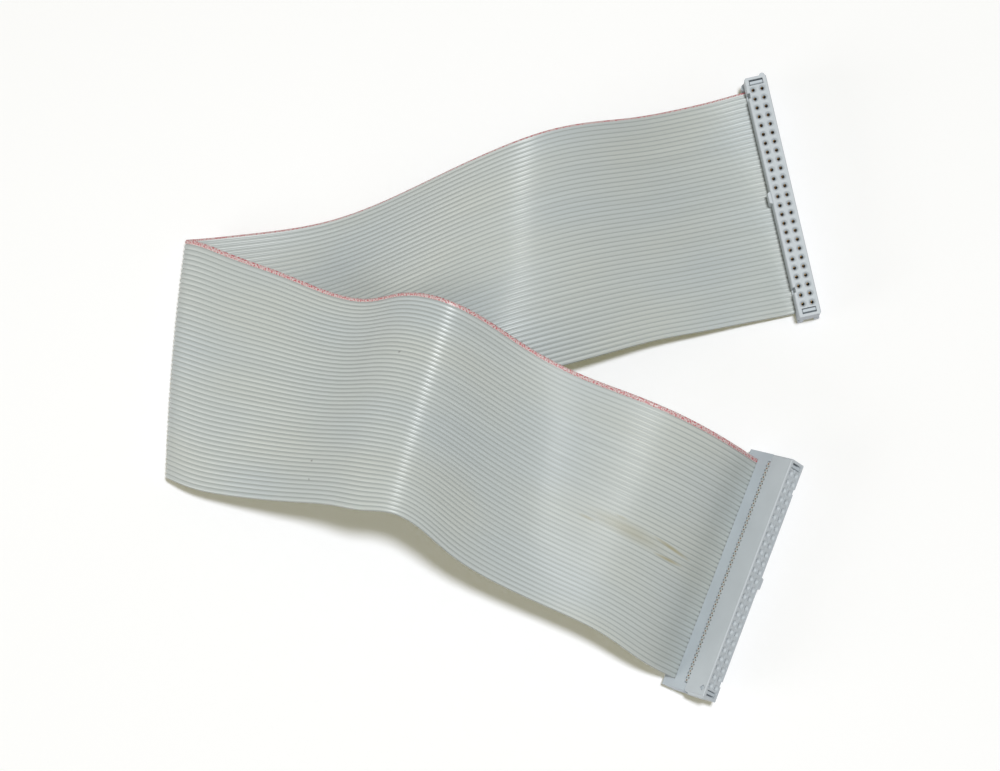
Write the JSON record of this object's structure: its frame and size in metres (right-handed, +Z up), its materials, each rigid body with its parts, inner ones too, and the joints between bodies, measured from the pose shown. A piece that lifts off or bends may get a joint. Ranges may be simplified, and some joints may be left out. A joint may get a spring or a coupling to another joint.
{
  "type": "ribbon cable",
  "caption": "Grey flat ribbon cable folded over on itself, with a red stripe along one edge and a two-row press-on socket at each end.",
  "frame": {"origin": "bottom centre of the whole cable as it lies on a table", "axes": "+X towards the two sockets, +Y along the far socket's rows towards its striped edge, +Z up"},
  "size_m": [0.1838, 0.1654, 0.0481],
  "materials": {
    "ribbon": "ribbed grey PVC with a soft sheen, red mottled stripe on one edge conductor",
    "moulding": "light blue-grey glass-filled polyester, fine satin",
    "contact": "stamped phosphor bronze",
    "conductor": "cut ends of stranded copper"
  },
  "bodies": {
    "root": {"ribbon": "ribbon", "far_conductor_ends": "conductor", "near_conductor_ends": "conductor", "far_socket_body": "moulding", "far_socket_cover": "moulding", "far_contacts_odd": "contact", "far_contacts_even": "contact", "near_socket_body": "moulding", "near_socket_cover": "moulding", "near_strain_relief": "moulding", "near_contacts_odd": "contact", "near_contacts_even": "contact"}
  },
  "joints": []
}
